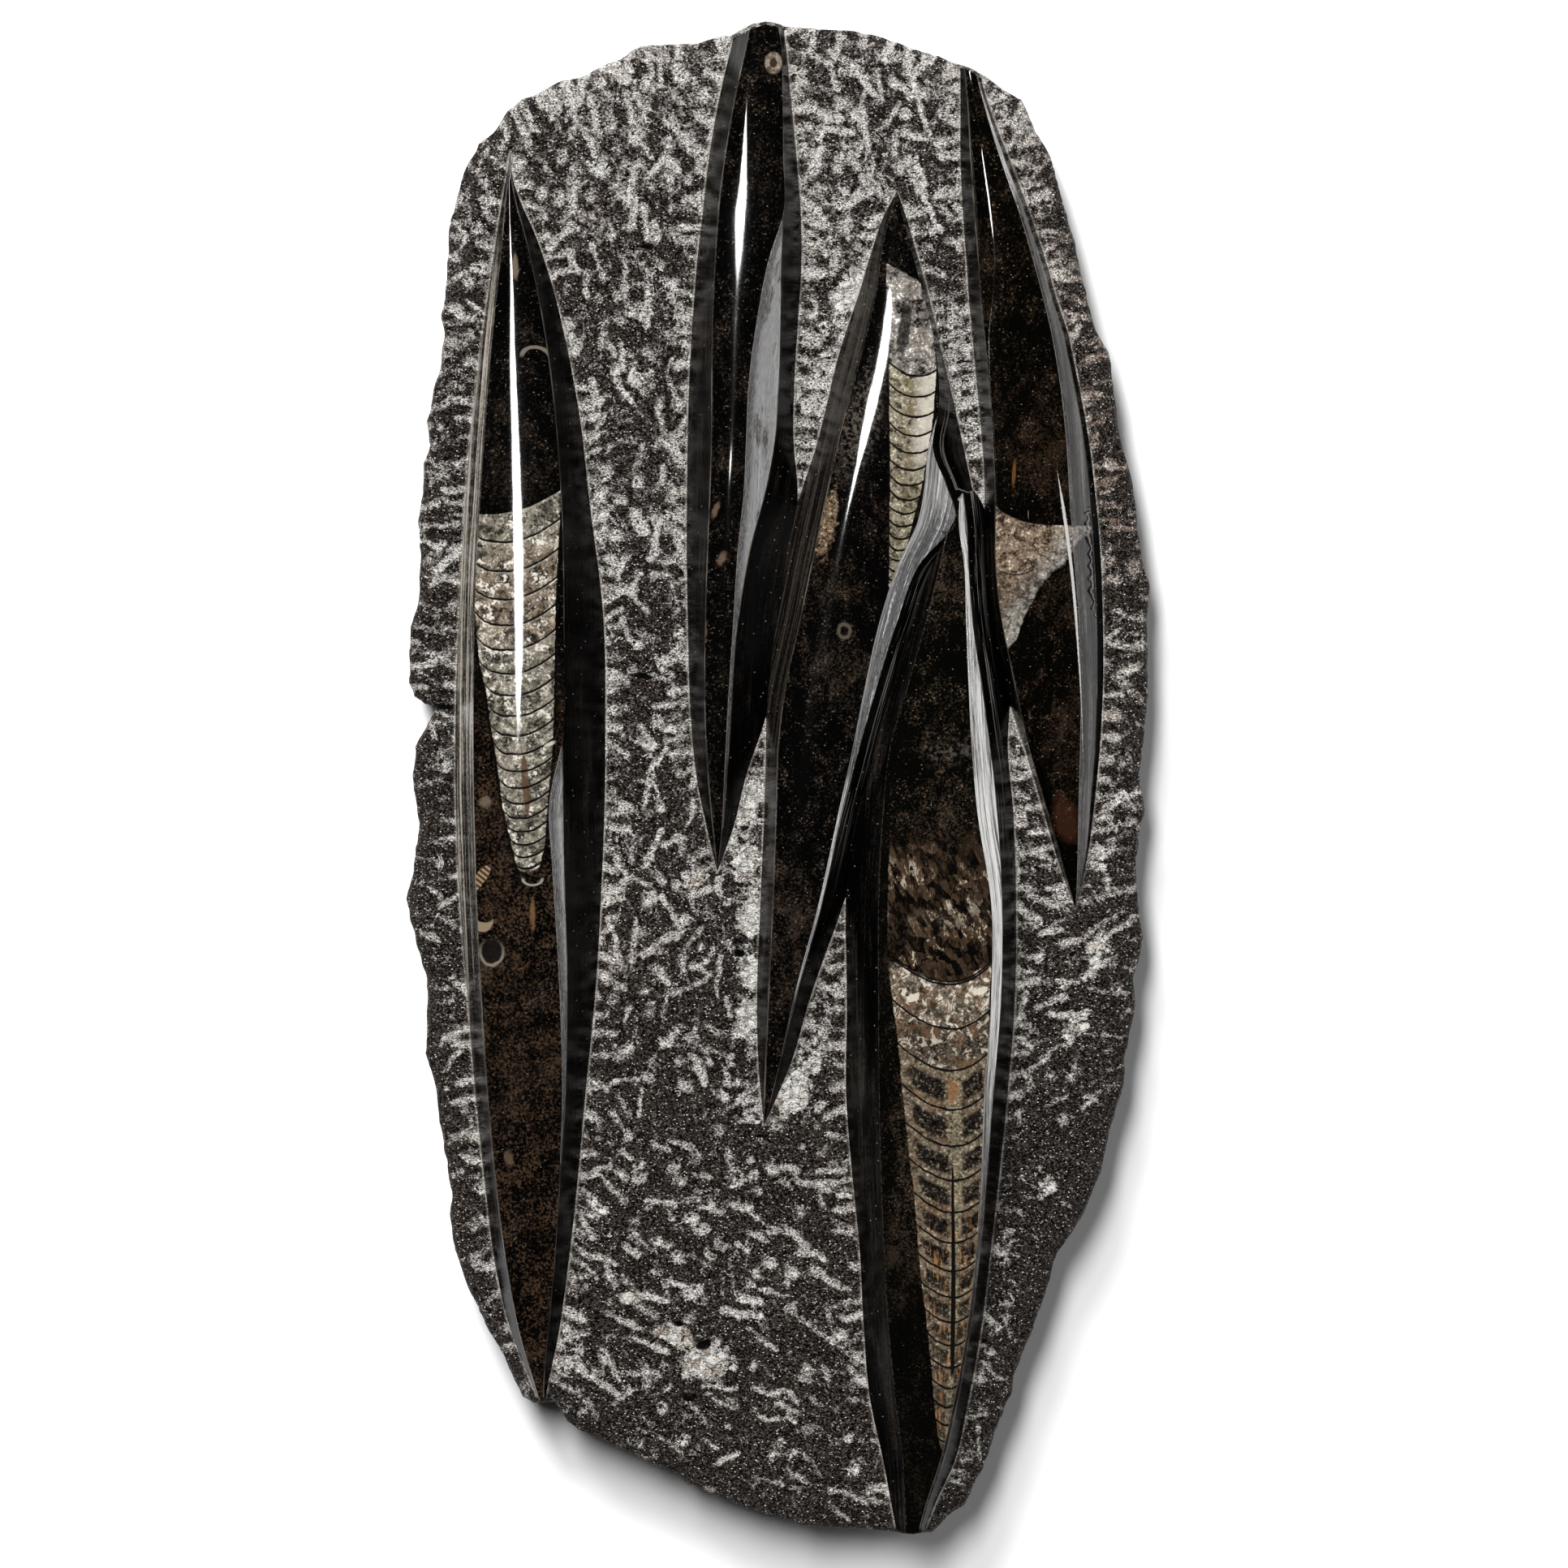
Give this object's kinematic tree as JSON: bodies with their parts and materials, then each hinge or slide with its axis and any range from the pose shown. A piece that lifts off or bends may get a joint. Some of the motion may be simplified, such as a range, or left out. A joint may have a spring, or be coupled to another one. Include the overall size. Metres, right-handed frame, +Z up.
{
  "type": "orthoceras fossil plate",
  "caption": "Slab of black fossil limestone with long polished orthoceras shells in relief on a chiselled ground, lying on its flat sawn back.",
  "frame": {"origin": "under the middle of the plate's bounding box, on the surface that its sawn back rests on", "axes": "+Z up, out of the carved face; +Y along the plate, towards its straight-topped end where the upper shell runs off the edge; +X to the right seen from above"},
  "size_m": [0.2468, 0.5, 0.0539],
  "materials": {
    "limestone": "satin"
  },
  "bodies": {
    "root": {"orthoceras_plate": "limestone"}
  },
  "joints": []
}
